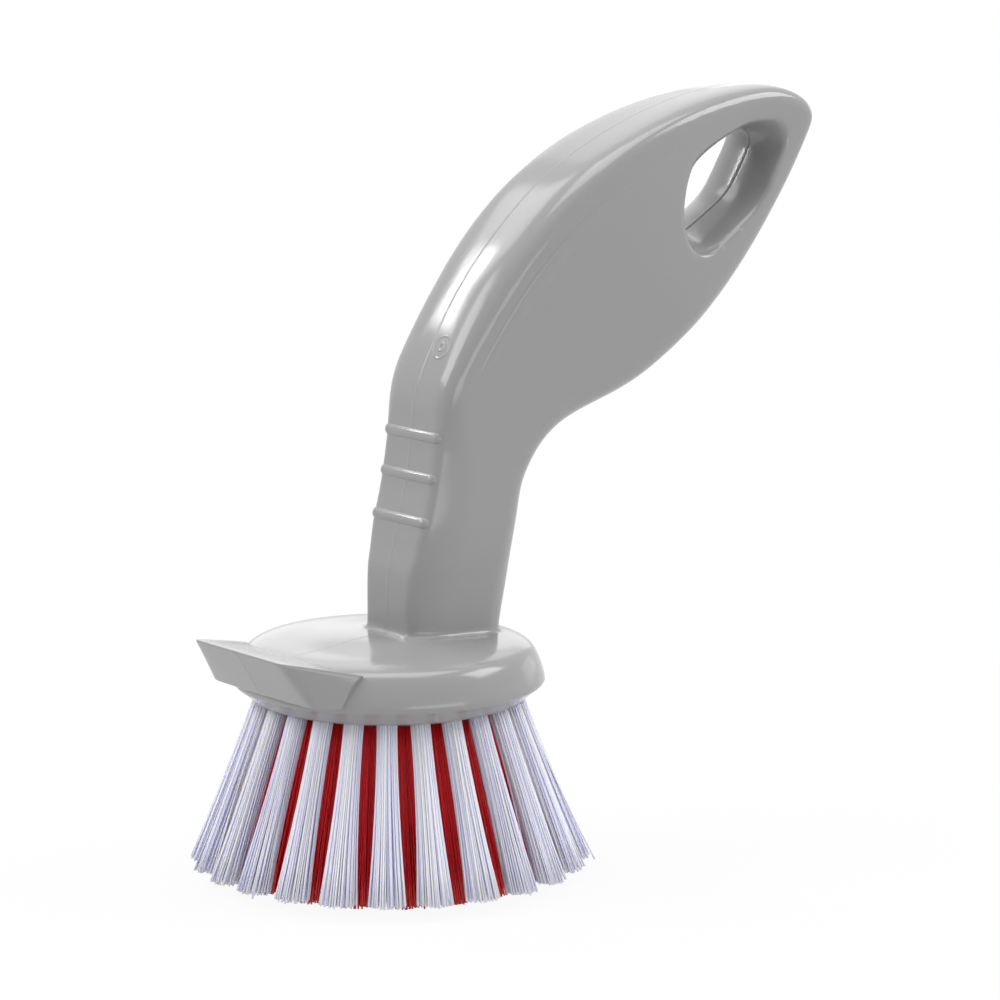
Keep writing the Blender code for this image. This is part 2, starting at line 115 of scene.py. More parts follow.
# Thumb bars: heights as shares of the handle's rise, radius, half length, and how far
# they stand out of the recess.
BAR_HEIGHT_SHARES = [0.281, 0.356, 0.428]
BAR_RADIUS = 1.4 * MM
BAR_HALF_LENGTH = 9.3 * MM
BAR_STAND_OUT = 1.0 * MM

# Head's half section as shares of its radius and rise: the domed top, then the rim.
HEAD_TOP_SHARES = [
    (0.00, 1.00), (0.25, 0.985), (0.43, 0.955), (0.58, 0.92), (0.72, 0.89),
    (0.825, 0.843), (0.885, 0.773), (0.925, 0.67), (0.961, 0.445), (0.989, 0.16), (1.00, 0.00),
]
# Under the rim: two points in mm that round it, then the domed tufting face by its radius,
# the radius of its curve and its drop.
RIM_POINTS = [(32.2, -0.55), (31.3, -0.95)]
FACE_RADIUS = 28.6 * MM
FACE_CURVE = 90.0 * MM
FACE_DROP = 3.4 * MM
# How far the top sinks towards the scraper, and the radii over which that sets in.
FRONT_SINK = 0.6 * MM
FRONT_SINK_RADII = (6.0 * MM, 20.0 * MM)

# Hang hole: its middle in shares of the handle's reach and rise, its half length and half
# height, the slope of its length, its outline in shares of the two halves, and its stations
# from one face to mid width as shares of the grip's half width, the length and the height.
HOLE_PLACE_SHARES = (0.781, 0.830)
HOLE_HALF_LENGTH = 19.0 * MM
HOLE_HALF_HEIGHT = 9.0 * MM
HOLE_SLOPE = math.radians(42.0)
HOLE_OUTLINE_SHARES = [
    (-0.74, 0.77), (-0.43, 1.22), (-0.23, 1.30), (0.08, 1.19), (0.45, 0.93), (0.63, 0.74),
    (0.81, 0.42), (0.93, 0.08), (0.90, -0.31), (0.76, -0.52), (0.55, -0.66), (0.33, -0.81),
    (0.05, -0.90), (-0.35, -0.75), (-0.75, -0.57), (-0.92, -0.26), (-0.93, 0.09), (-0.87, 0.40),
]
HOLE_STATION_SHARES = [
    (1.20, 1.15, 1.27), (1.00, 1.09, 1.16), (0.84, 1.03, 1.05), (0.76, 0.97, 0.95),
    (0.49, 0.88, 0.84), (0.00, 0.83, 0.77),
]

# Scraper's corners: lip, bend, foot, heel inside the head, and valley.  Each is given at
# the root by the rim, at the near corner and in the middle, as reach towards the front,
# rise and distance aside in shares of the head radius.
SCRAPER_SHARES = [
    [(0.680, 0.223, 0.638), (1.192, 0.334, 0.470), (1.192, 0.334, 0.000)],
    [(0.748, 0.160, 0.625), (1.092, 0.180, 0.510), (1.099, 0.180, 0.000)],
    [(0.821, 0.012, 0.608), (0.990, 0.026, 0.552), (1.005, 0.026, 0.000)],
    [(0.500, 0.020, 0.460), (0.500, 0.020, 0.400), (0.500, 0.020, 0.000)],
    [(0.660, 0.205, 0.620), (0.690, 0.214, 0.450), (0.720, 0.237, 0.000)],
]
SCRAPER_SOFTNESS = (0.06, 0.09, 0.12, 0.10, 0.10)

# Fine raised lines: half width and height of each.
PARTING_LINE = (0.42 * MM, 0.05 * MM)
GATE_LINE = (0.48 * MM, 0.13 * MM)
HOLE_SEAM = (0.70 * MM, 0.24 * MM)
# Middle section of the dome under the parting line, in shares of the head radius.
DOME_LINE_SHARES = [(-0.02, 0.29), (-0.35, 0.285), (-0.60, 0.262), (-0.71, 0.241)]
# Crease of the side panel: the rows of the outline where it starts, has its full height,
# begins to fade and ends, its height, and its half widths on the steep and the soft side.
CREASE_ROWS = (12.6, 15.2, 18.2, 19.6)
CREASE_HEIGHT = 0.24 * MM
CREASE_STEEP = 0.9 * MM
CREASE_SOFT = 4.0 * MM
# Gate mark: its row of the outline, its distance aside, and the radii of its two circles.
GATE_ROW = 13.55
GATE_ASIDE = -3.5 * MM
GATE_CIRCLES = (("gate_ring", 2.5 * MM), ("gate_pip", 0.8 * MM))

# Bristles: the sRGB hex of the darkest strands, and how many millimetres red, green and
# blue light reach into them.
WHITE_SHADE = "#e0e0fc"
WHITE_DEPTHS = (0.15, 0.15, 0.2)
RED_SHADE = "#f2202c"
RED_DEPTHS = (0.1, 0.1, 0.1)
# A tuft's roots: the radius of the bundle in its hole, and how deep it starts.
ROOT_RADIUS = 1.95 * MM
ROOT_DEPTH = 1.5 * MM
# A tuft's tips: how far every strand strays, how far a few stray and the share of these,
# how ragged the trimmed ends are, and how much shorter a few are and the share of these.
TIP_STRAY = 0.16 * MM
WIDE_STRAY = 0.9 * MM
WIDE_STRAY_SHARE = 0.05
TIP_RAGGEDNESS = 0.3 * MM
SHORTER_BY = 2.0 * MM
SHORTER_SHARE = 0.06

# Softboxes: name, what it aims at, direction from there, distance, size, power, and how
# many degrees its long side leans.
SOFTBOXES = [
    ("strip_softbox", "grip", (-0.303, 0.778, 0.550), 0.68, (0.20, 0.022), 0.52, 139.0),
    ("left_softbox", "middle", (-0.70, 0.40, 0.59), 1.2, (0.6, 0.6), 5.6, 0.0),
    ("top_softbox", "middle", (0.08, 0.06, 1.0), 1.2, (0.9, 0.7), 6.3, 0.0),
    ("low_back_softbox", "middle", (0.58, 0.74, 0.18), 1.2, (0.7, 0.30), 0.6, 0.0),
    ("high_back_softbox", "middle", (0.58, 0.74, 0.62), 1.2, (0.7, 0.55), 0.75, 0.0),
    ("left_back_softbox", "middle", (-0.12, 0.70, 0.70), 1.2, (0.5, 0.3), 1.2, 0.0),
    ("high_right_softbox", "middle", (0.66, -0.40, 0.66), 1.3, (0.7, 0.5), 6.6, 0.0),
    ("far_right_softbox", "middle", (0.98, 0.14, 0.10), 1.2, (0.5, 0.3), 0.3, 0.0),
    ("low_front_softbox", "middle", (-0.05, -0.98, 0.06), 1.3, (1.0, 0.3), 2.45, 0.0),
]

# Camera: azimuth and height in degrees, the point it looks at, its distance from there and
# its focal length in millimetres.
CAMERA_AZIMUTH = -38.0
CAMERA_HEIGHT = 10.4
CAMERA_TARGET = (-0.0050277, 0.0, 0.0754713)
CAMERA_DISTANCE = 0.950
CAMERA_LENS = 162.684


class BrushSizes(bpy.types.PropertyGroup):
    """Driving sizes of the brush."""

    head_radius: bpy.props.FloatProperty(
        name="Head radius", description="Radius of the round head at its widest",
        default=BODY_HIGH.y, unit="LENGTH",
    )
    head_rise: bpy.props.FloatProperty(
        name="Head rise", description="Height of the dome over the widest circle",
        default=9.6 * MM, unit="LENGTH",
    )
    handle_rise: bpy.props.FloatProperty(
        name="Handle rise", description="Height of the handle over the widest circle",
        default=118.4 * MM, unit="LENGTH",
    )
    handle_reach: bpy.props.FloatProperty(
        name="Handle reach", description="From the head's axis back to the tail",
        default=109.6 * MM, unit="LENGTH",
    )
    grip_half_width: bpy.props.FloatProperty(
        name="Grip half width", description="Half of the grip's greatest thickness",
        default=12.9 * MM, unit="LENGTH",
    )
    fillet_grain: bpy.props.FloatProperty(
        name="Fillet grain", description="Size of the cells in which the shells are fused",
        default=0.5 * MM, unit="LENGTH",
    )
    strand_radius: bpy.props.FloatProperty(
        name="Strand radius", description="Radius of one bristle",
        default=0.19 * MM, unit="LENGTH",
    )
    strands_per_tuft: bpy.props.IntProperty(
        name="Strands per tuft", description="Bristles that leave one hole", default=120,
    )


class BrushColours(bpy.types.PropertyGroup):
    """Colours of the moulding and the bristles."""

    moulding: bpy.props.StringProperty(
        name="Moulding", description="sRGB hex of the moulded body", default="#939393",
    )
    white_bristle: bpy.props.StringProperty(
        name="White bristle", description="sRGB hex of the outer bristles", default="#f3f3ff",
    )
    red_bristle: bpy.props.StringProperty(
        name="Red bristle", description="sRGB hex of the inner bristles", default="#ff2834",
    )


def linear(code):
    """Linear colour of an sRGB hex value."""
    parts = [int(code[start:start + 2], 16) / 255.0 for start in (1, 3, 5)]
    return (*[c / 12.92 if c <= 0.04045 else ((c + 0.055) / 1.055) ** 2.4 for c in parts], 1.0)


def add_node(tree, kind, settings=None, inputs=None, links=None):
    """Add a node, set its properties and input values, and link other sockets to it."""
    node = tree.nodes.new(kind)
    for name, value in (settings or {}).items():
        setattr(node, name, value)
    for name, value in (inputs or {}).items():
        node.inputs[name].default_value = value
    for name, socket in (links or {}).items():
        tree.links.new(socket, node.inputs[name])
    return node


def blank_material(name):
    """A material whose tree holds only its output."""
    made = bpy.data.materials.new(name)
    made.use_nodes = True
    made.node_tree.nodes.clear()
    return made, made.node_tree, made.node_tree.nodes.new("ShaderNodeOutputMaterial")


def moulded_polypropylene(colour):
    """Injection-moulded polypropylene from a polished tool.

    To the eye: an even mid grey with a soft, slightly waxy gloss.  The skin has a very
    faint orange peel about 3 mm across, and its gloss drifts a little over 20 mm.
    """
    made, tree, output = blank_material("moulded_polypropylene")
    places = add_node(tree, "ShaderNodeTexCoord").outputs["Object"]
    drift = add_node(
        tree, "ShaderNodeTexNoise", inputs={"Scale": 1.0 / (20.0 * MM), "Detail": 2.0},
        links={"Vector": places},
    )
    gloss = add_node(
        tree, "ShaderNodeMapRange",
        inputs={"From Min": 0.3, "From Max": 0.7, "To Min": 0.13, "To Max": 0.18},
        links={"Value": drift.outputs["Fac"]},
    )
    peel = add_node(
        tree, "ShaderNodeTexNoise", inputs={"Scale": 1.0 / (3.0 * MM), "Detail": 1.0},
        links={"Vector": places},
    )
    bump = add_node(
        tree, "ShaderNodeBump", inputs={"Strength": 0.12, "Distance": 0.02 * MM},
        links={"Height": peel.outputs["Fac"]},
    )
    shader = add_node(
        tree, "ShaderNodeBsdfPrincipled",
        inputs={"Base Color": linear(colour), "IOR": 1.49},
        links={"Roughness": gloss.outputs["Result"], "Normal": bump.outputs["Normal"]},
    )
    tree.links.new(shader.outputs["BSDF"], output.inputs["Surface"])
    return made


def nylon_bristle(name, colour, shade, depths):
    """Extruded nylon bristle.

    To the eye: thin glossy strands, each a touch lighter or darker than the next, that
    let light in for a fraction of a millimetre, so a tuft looks soft with fine streaks.
    """
    made, tree, output = blank_material(name)
    tone = add_node(tree, "ShaderNodeAttribute", {"attribute_name": "strand_tone"})
    blend = add_node(
        tree, "ShaderNodeMix", {"data_type": "RGBA"}, links={"Factor": tone.outputs["Fac"]},
    )
    blend.inputs[6].default_value = linear(shade)
    blend.inputs[7].default_value = linear(colour)
    shader = add_node(
        tree, "ShaderNodeBsdfPrincipled",
        inputs={
            "IOR": 1.53, "Roughness": 0.35, "Specular IOR Level": 0.5,
            "Subsurface Weight": 0.9, "Subsurface Radius": depths, "Subsurface Scale": 1.0 * MM,
        },
        links={"Base Color": blend.outputs[2]},
    )
    tree.links.new(shader.outputs["BSDF"], output.inputs["Surface"])
    return made


def grid_faces(rows, columns, close_columns):
    """Quads of a grid whose points run row by row; each row may close on itself."""
    row = np.arange(rows - 1)[:, None]
    column = np.arange(columns if close_columns else columns - 1)[None, :]
    after = (column + 1) % columns
    corners = [row * columns + column, row * columns + after,
               (row + 1) * columns + after, (row + 1) * columns + column]
    return np.stack(corners, axis=-1).reshape(-1, 4)


def shell_mesh(name, grid, caps=()):
    """A closed mesh from a grid of points; rows that shrink to a point are merged."""
    rows, columns = grid.shape[:2]
    faces = grid_faces(rows, columns, True).tolist()
    for row in caps:
        start = (row % rows) * columns
        faces.append(list(range(start, start + columns)))
    mesh = bpy.data.meshes.new(name)
    mesh.from_pydata(grid.reshape(-1, 3).tolist(), [], faces)
    work = bmesh.new()
    work.from_mesh(mesh)
    bmesh.ops.remove_doubles(work, verts=work.verts, dist=0.001 * MM)
    bmesh.ops.recalc_face_normals(work, faces=work.faces)
    work.to_mesh(mesh)
    work.free()
    mesh.polygons.foreach_set("use_smooth", np.ones(len(mesh.polygons), dtype=bool))
    return mesh


def new_object(name, mesh):
    """An object for a mesh, linked to the scene."""
    made = bpy.data.objects.new(name, mesh)
    bpy.context.scene.collection.objects.link(made)
    return made


def finished_mesh(source, name):
    """The mesh that an object shows with its modifiers, as a mesh of its own."""
    bpy.context.view_layer.update()
    shown = source.evaluated_get(bpy.context.evaluated_depsgraph_get())
    made = bpy.data.meshes.new_from_object(shown)
    made.name = name
    return made


def drop(*objects):
    """Remove helper objects."""
    for made in objects:
        bpy.data.objects.remove(made, do_unlink=True)


def smooth_rows(table, places):
    """Rows of a table at fractional places, and their slopes.

    A uniform cubic B-spline: each value is four neighbouring control rows weighted by the
    cubic basis of the fractional part.  The control rows are the table's rows pushed out
    by as much as the spline would pull them in, so the curve runs through the table.
    """
    rows = np.asarray(table, dtype=float)

    def padded(some):
        return np.vstack([2.0 * some[:1] - some[1:2], some, 2.0 * some[-1:] - some[-2:-1]])

    wide = padded(rows)
    control = padded(2.0 * rows - (wide[:-2] + 4.0 * rows + wide[2:]) / 6.0)
    index = np.clip(np.floor(places).astype(int), 0, len(rows) - 2)
    t = (places - index)[:, None]
    a, b, c, d = [control[index + step] for step in range(4)]
    value = ((1 - t) ** 3 * a + (3 * t ** 3 - 6 * t ** 2 + 4) * b
             + (-3 * t ** 3 + 3 * t ** 2 + 3 * t + 1) * c + t ** 3 * d) / 6.0
    slope = (-(1 - t) ** 2 * a + (3 * t ** 2 - 4 * t) * b
             + (-3 * t ** 2 + 2 * t + 1) * c + t ** 2 * d) / 2.0
    return value, slope


def fade(value, low, high):
    """Smooth step from 0 at low to 1 at high."""
    share = np.clip((value - low) / (high - low), 0.0, 1.0)
    return share * share * (3.0 - 2.0 * share)


def outline_rows(sizes, places):
    """Outline points (x, z), inward directions, half widths and roundings at places."""
    rows, slopes = smooth_rows(OUTLINE_SHARES, places)
    scale = np.array([sizes.handle_reach, sizes.handle_rise])
    points = rows[:, :2] * scale + np.array([HEAD_X, rim_height(sizes)])
    along = slopes[:, :2] * scale
    along /= np.linalg.norm(along, axis=1)[:, None]
    inward = np.stack([along[:, 1], -along[:, 0]], axis=1)
    return points, inward, rows[:, 2:] * sizes.grip_half_width


def rim_height(sizes):
    """Height of the head's widest circle."""
    return BODY_HIGH.z - sizes.handle_rise


def edge_face(sizes, places, turns, sides):
    """One long face of the handle with its two rounded edges.

    Across the face the turn goes from a right angle at one side, through zero along the
    flat middle, to a right angle at the other.  A point lies inwards from the outline by
    depth (1 - cos(turn)^(2/n)) and aside by half width - width (1 - sin(turn)^(2/n)), a
    quarter of a superellipse of power n.  In the thumb recess it lies deeper; the recess
    starts 1.9 b^3 rows later and ends 1.1 b^3 rows sooner, where b is the distance aside
    over the recess's bend, so that its ends are round.
    """
    points, inward, widths = outline_rows(sizes, places)
    half, depth, width = [column[:, None] for column in widths.T]
    rows, powers = np.array(EDGE_POWERS).T
    power = 2.0 / np.interp(places, rows, powers)[:, None]
    sink = depth * (1.0 - np.cos(turns)[None, :] ** power)
    aside = sides[None, :] * (half - width * (1.0 - np.sin(turns)[None, :] ** power))
    first, last = RECESS_ROWS
    bend = (np.abs(aside) / RECESS_BEND) ** 3
    reached = fade(places[:, None] - first - 1.9 * bend, 0.0, 0.6)
    reached = reached * fade(last - 1.1 * bend - places[:, None], 0.0, 0.9)
    sink = sink + RECESS_DEPTH * reached * (1.0 - fade(np.abs(aside), *RECESS_EDGE))
    places3 = np.empty(sink.shape + (3,))
    places3[..., 0] = points[:, :1] + inward[:, :1] * sink
    places3[..., 1] = aside
    places3[..., 2] = points[:, 1:] + inward[:, 1:] * sink
    return places3


def handle_grid(sizes):
    """Neck and grip as a function of the place along the outline and round the section.

    The section runs across the outer face, along one side to the facing row of the
    outline, across the inner face and back along the other side.
    """
    last = len(OUTLINE_SHARES) - 1
    up = np.linspace(0.0, 0.5 * last, 232)
    quarter = np.linspace(0.0, 0.5 * math.pi, 17)
    turns = np.concatenate([quarter[::-1], quarter])
    sides = np.repeat([-1.0, 1.0], len(quarter))
    outer = edge_face(sizes, up, turns, sides)
    inner = edge_face(sizes, last - up, turns, sides)[:, ::-1]
    share = np.linspace(0.0, 1.0, 14)[None, 1:-1, None]
    near = outer[:, -1:] * (1.0 - share) + inner[:, :1] * share
    far = inner[:, -1:] * (1.0 - share) + outer[:, :1] * share
    return np.concatenate([outer, near, inner, far], axis=1)


def hole_grid(sizes):
    """The hang hole as a function of the share of the width and the way round it.

    Each station is the same closed outline, drawn larger towards the two faces.
    """
    around = np.linspace(0.0, len(HOLE_OUTLINE_SHARES), 145)[:-1]
    looped = HOLE_OUTLINE_SHARES[-2:] + HOLE_OUTLINE_SHARES + HOLE_OUTLINE_SHARES[:3]
    loop, _ = smooth_rows(looped, around + 2.0)
    half = np.array(HOLE_STATION_SHARES)
    flat = half[::-1] * np.array([-1.0, 1.0, 1.0])
    table = np.vstack([half[:-1], flat])
    stations, _ = smooth_rows(table, np.linspace(0.0, len(table) - 1.0, 61))
    reach = HOLE_HALF_LENGTH * loop[None, :, 0] * stations[:, 1:2]
    height = HOLE_HALF_HEIGHT * loop[None, :, 1] * stations[:, 2:3]
    grid = np.empty(reach.shape + (3,))
    grid[..., 0] = HEAD_X + sizes.handle_reach * HOLE_PLACE_SHARES[0]
    grid[..., 0] += reach * math.cos(HOLE_SLOPE) - height * math.sin(HOLE_SLOPE)
    grid[..., 1] = sizes.grip_half_width * stations[:, :1]
    grid[..., 2] = rim_height(sizes) + sizes.handle_rise * HOLE_PLACE_SHARES[1]
    grid[..., 2] += reach * math.sin(HOLE_SLOPE) + height * math.cos(HOLE_SLOPE)
    return grid


def face_drop(out):
    """How far under the widest circle the tufting face lies at a distance from the axis.

    The face is part of a sphere: drop at its edge + sqrt(R^2 - out^2) - sqrt(R^2 - edge^2).
    """
    edge = math.sqrt(FACE_CURVE ** 2 - FACE_RADIUS ** 2)
    return FACE_DROP + np.sqrt(FACE_CURVE ** 2 - out ** 2) - edge


def head_section(sizes):
    """Half section of the head: domed top, rim and the domed tufting face."""
    top, _ = smooth_rows(HEAD_TOP_SHARES, np.linspace(0.0, len(HEAD_TOP_SHARES) - 1.0, 90))
    top = top * np.array([sizes.head_radius, sizes.head_rise])
    rim = np.array(RIM_POINTS) * MM
    out = FACE_RADIUS * np.linspace(1.0, 0.0, 20)
    return np.vstack([top, rim, np.stack([out, -face_drop(out)], axis=1)])


def head_grid(sizes):
    """The head as a function of the place along its half section and the turn round.

    Towards the scraper the top sinks by a share that grows with the distance from the
    axis and with the square of the cosine of the turn.
    """
    section = head_section(sizes)
    turn = np.linspace(0.0, 2.0 * math.pi, 181)[:-1]
    radius = section[:, 0][:, None]
    front = np.clip(-np.cos(turn), 0.0, 1.0)[None, :] ** 2
    sunk = FRONT_SINK * fade(radius, *FRONT_SINK_RADII) * front * (section[:, 1:] > 3.0 * MM)
    grid = np.empty((len(section), len(turn), 3))
    grid[..., 0] = HEAD_X + radius * np.cos(turn)
    grid[..., 1] = radius * np.sin(turn)
    grid[..., 2] = rim_height(sizes) + section[:, 1:] - sunk
    return grid


def cut_corner(here, before, after, reach):
    """Points that round a corner: a quadratic Bezier curve with a support point each side."""
    arms = []
    for other in (before, after):
        arm = other - here
        arms.append(arm / np.linalg.norm(arm, axis=1)[:, None])
    near = np.minimum(0.45 * np.linalg.norm(before - here, axis=1), reach)[:, None]
    far = np.minimum(0.45 * np.linalg.norm(after - here, axis=1), reach)[:, None]
    t = np.linspace(0.0, 1.0, 7)[:, None, None]
    start = here + arms[0] * near
    end = here + arms[1] * far
    curve = (1.0 - t) ** 2 * start + 2.0 * t * (1.0 - t) * here + t ** 2 * end
    return np.concatenate([[start + arms[0] * 0.4 * near], curve, [end + arms[1] * 0.4 * far]])


def scraper_grid(sizes):
    """The scraper as a function of the place along its lip and the place round its section.

    Each corner runs from the root A past the near corner B to the middle C as
    B + (A - B) h(-u) + (C - B) h(u), where h(u) = (u + sqrt(u^2 + e^2)) / 2 is a hinge
    rounded by the softness e.  The far half mirrors the near one.
    """
    root, corner, middle = np.moveaxis(np.array(SCRAPER_SHARES) * sizes.head_radius, 1, 0)[:, :, None]
    soft = np.array(SCRAPER_SOFTNESS)[:, None, None]
    u = np.sinh(np.linspace(-2.2, 2.2, 61))[None, :, None] / math.sinh(2.2)
    whole = 0.5 * (1.0 + np.sqrt(1.0 + soft ** 2))
    back = 0.5 * (np.sqrt(u ** 2 + soft ** 2) - u) / whole
    ahead = 0.5 * (np.sqrt(u ** 2 + soft ** 2) + u) / whole
    lip, bend, foot, heel, valley = corner + (root - corner) * back + (middle - corner) * ahead
    section = np.concatenate([
        cut_corner(lip, valley, bend, 0.9 * MM), bend[None],
        cut_corner(foot, bend, heel, 0.45 * MM), heel[None], valley[None],
    ])
    near = np.moveaxis(section, 0, 1)
    near[-1, :, 2] = 0.0
    far = near[-2::-1] * np.array([1.0, 1.0, -1.0])
    both = np.concatenate([near, far])
    return np.stack([HEAD_X - both[..., 0], -both[..., 2], rim_height(sizes) + both[..., 1]], axis=-1)


def brush_material(name):
    """The material of that name, made once."""
    colours = bpy.context.scene.brush_colours
    if name in bpy.data.materials:
        return bpy.data.materials[name]
    if name == "moulded_polypropylene":
        return moulded_polypropylene(colours.moulding)
    if name == "nylon_bristle_white":
        return nylon_bristle(name, colours.white_bristle, WHITE_SHADE, WHITE_DEPTHS)
    return nylon_bristle(name, colours.red_bristle, RED_SHADE, RED_DEPTHS)


def dress(made, material, slot, *nodes):
    """Give a piece its material and tie it to the frame."""
    made.data.materials.clear()
    made.data.materials.append(brush_material(material))
    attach(made, "root")
    if nodes:
        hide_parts(*nodes)


class BRUSH_OT_body(bpy.types.Operator):
    """Build the moulded head, neck and grip as one fused surface"""

    bl_idname = "brush.body"
    bl_label = "Moulded Body"

    def execute(self, context):
        """Cut the hang hole, fuse the shells and soften where they meet."""
        sizes = context.scene.brush_sizes
        shell = shell_mesh("handle_shell", handle_grid(sizes), caps=(0,))
        handle = new_object("handle_shell", shell)
        shell = shell_mesh("hole_shell", hole_grid(sizes), caps=(0, -1))
        hole = new_object("hole_shell", shell)
        cut = handle.modifiers.new("hang_hole", "BOOLEAN")
        cut.operation = "DIFFERENCE"
        cut.solver = "EXACT"
        cut.object = hole
        work = bmesh.new()
        work.from_mesh(finished_mesh(handle, "cut_handle"))
        work.from_mesh(shell_mesh("head_shell", head_grid(sizes)))
        joined = bpy.data.meshes.new("joined_shells")
        work.to_mesh(joined)
        work.free()
        rough = new_object("joined_shells", joined)
        fuse = rough.modifiers.new("fuse", "REMESH")
        fuse.mode = "VOXEL"
        fuse.voxel_size = sizes.fillet_grain
        fuse.use_smooth_shade = True
        soften = rough.modifiers.new("soften", "SMOOTH")
        soften.factor = 0.5
        soften.iterations = 8
        made = new_object("moulded_body", finished_mesh(rough, "moulded_body"))
        drop(handle, hole, rough)
        if len(made.data.polygons) < 10000:
            raise RuntimeError("the shells did not fuse")
        dress(made, "moulded_polypropylene", "grey_plastic", "brush_body")
        return {"FINISHED"}


class BRUSH_OT_scraper(bpy.types.Operator):
    """Build the scraper lip that rises from the front of the head"""

    bl_idname = "brush.scraper"
    bl_label = "Scraper"

    def execute(self, context):
        """One closed shell whose heel lies inside the head."""
        grid = scraper_grid(context.scene.brush_sizes)
        made = new_object("scraper", shell_mesh("scraper", grid, caps=(0, -1)))
        made.data.set_sharp_from_angle(angle=math.radians(40.0))
        dress(made, "moulded_polypropylene", "grey_plastic")
        return {"FINISHED"}


def bar_grid(sizes, height):
    """One thumb bar as a function of the place along it and the turn round it.

    The radius follows a quarter circle at each end, so the bar is a round-ended rod.
    """
    places = np.linspace(0.0, 0.25 * len(OUTLINE_SHARES), 400)
    points, _, _ = outline_rows(sizes, places)
    front = np.interp(rim_height(sizes) + height, points[:, 1], points[:, 0])
    straight = BAR_HALF_LENGTH - BAR_RADIUS
    bend = np.linspace(0.0, 0.5 * math.pi, 9)
    aside = np.concatenate([
        -straight - BAR_RADIUS * np.cos(bend),
        straight + BAR_RADIUS * np.sin(bend),
    ])
    girth = BAR_RADIUS * np.concatenate([np.sin(bend), np.cos(bend)])
    turn = np.linspace(0.0, 2.0 * math.pi, 25)[:-1]
    centre = front + RECESS_DEPTH - BAR_STAND_OUT + BAR_RADIUS
    grid = np.empty((len(aside), len(turn), 3))
    grid[..., 0] = centre + girth[:, None] * np.cos(turn)
    grid[..., 1] = aside[:, None]
    grid[..., 2] = rim_height(sizes) + height + girth[:, None] * np.sin(turn)
    return grid


class BRUSH_OT_thumb_bars(bpy.types.Operator):
    """Build the three round bars of the thumb rest"""

    bl_idname = "brush.thumb_bars"
    bl_label = "Thumb Bars"

    def execute(self, context):
        """One closed rod for each bar, partly sunk in the thumb rest."""
        sizes = context.scene.brush_sizes
        for index, share in enumerate(BAR_HEIGHT_SHARES):
            name = "thumb_bar_%d" % (index + 1)
            made = new_object(name, shell_mesh(name, bar_grid(sizes, share * sizes.handle_rise)))
            dress(made, "moulded_polypropylene", "grey_plastic")
        return {"FINISHED"}


def settled(path, normals, body):
    """Path points moved along their normals onto the moulded surface.

    Each moves by the mean height over it of the body's points near it, weighted by
    exp(-(distance aside / 0.5 mm)^2).  Points more than 1.6 mm above or below don't count.
    """
    reach = body[None] - path[:, None]
    height = np.einsum("ijk,ik->ij", reach, normals)
    aside = np.maximum(np.einsum("ijk,ijk->ij", reach, reach) - height ** 2, 0.0)
    weight = np.exp(-aside / (0.5 * MM) ** 2) * (np.abs(height) < 1.6 * MM) + 1e-12
    return path + normals * ((weight * height).sum(1) / weight.sum(1))[:, None]


def bead_grid(path, normals, half_width, height, closed=False, other_width=None):
    """A fine raised line as a function of the place along its path and the turn round it.

    At share c = cos(turn) of the half width its section stands height (1 - 1.7 c^2) out
    of the surface, so its flanks dip into the wall; the rest lies deeper inside.  The
    other half width may differ.  An open line tapers over six points at each end.
    """
    if closed:
        along = np.roll(path, -1, 0) - np.roll(path, 1, 0)
    else:
        along = np.gradient(path, axis=0)
    along /= np.linalg.norm(along, axis=1)[:, None]
    aside = np.cross(normals, along)
    aside /= np.linalg.norm(aside, axis=1)[:, None]
    turn = np.linspace(0.0, 2.0 * math.pi, 17)[:-1]
    share = np.ones(len(path))
    if not closed:
        ends = np.minimum(np.arange(len(path)), np.arange(len(path))[::-1])
        share = np.clip(ends / 6.0, 0.02, 1.0)
    reach = np.cos(turn) * np.where(np.cos(turn) > 0.0, half_width, other_width or half_width)
    crown = 1.0 - 1.7 * np.cos(turn) ** 2
    rise = height * np.where(np.sin(turn) > -0.01, crown, -0.7 - np.abs(np.sin(turn)))
    flat = (aside * share[:, None])[:, None] * reach[None, :, None]
    proud = (normals * share[:, None])[:, None] * rise[None, :, None]
    grid = path[:, None] + flat + proud
    return np.concatenate([grid, grid[:1]]) if closed else grid


def lifted(flat, aside):
    """Points in space from (x, z) points and the distance aside."""
    return np.stack([flat[:, 0], np.broadcast_to(aside, len(flat)), flat[:, 1]], axis=1)


def straight_path(start, end):
    """Points and normals along a straight run in the plane of symmetry."""
    part = np.linspace(0.02, 0.98, 40)[:, None]
    run = end - start
    normal = np.array([[-run[1], run[0]]]) / np.linalg.norm(run)
    return lifted(start + run * part, 0.0), lifted(np.repeat(normal, len(part), axis=0), 0.0)


def parting_paths(sizes):
    """Paths of the parting line on the moulded body, and the one down the scraper's front.

    On the body it runs round the handle along its outline, and over the front of the dome.
    """
    places = np.linspace(0.8, len(OUTLINE_SHARES) - 1.8, 560)
    points, inward, _ = outline_rows(sizes, places)
    round_handle = lifted(points, 0.0), lifted(-inward, 0.0)
    share = np.array(DOME_LINE_SHARES) * sizes.head_radius
    over, slope = smooth_rows(share, np.linspace(0.0, len(share) - 1.0, 90))
    slope /= np.linalg.norm(slope, axis=1)[:, None]
    upward = np.stack([slope[:, 1], -slope[:, 0]], axis=1)
    place = np.array([HEAD_X, rim_height(sizes)])
    over_dome = lifted(over + place, 0.0), lifted(upward, 0.0)
    corners = np.array(SCRAPER_SHARES)[:, 2, :2] * sizes.head_radius * np.array([-1.0, 1.0]) + place
    on_front = straight_path(corners[2], corners[0])
    return [round_handle, over_dome], [on_front]


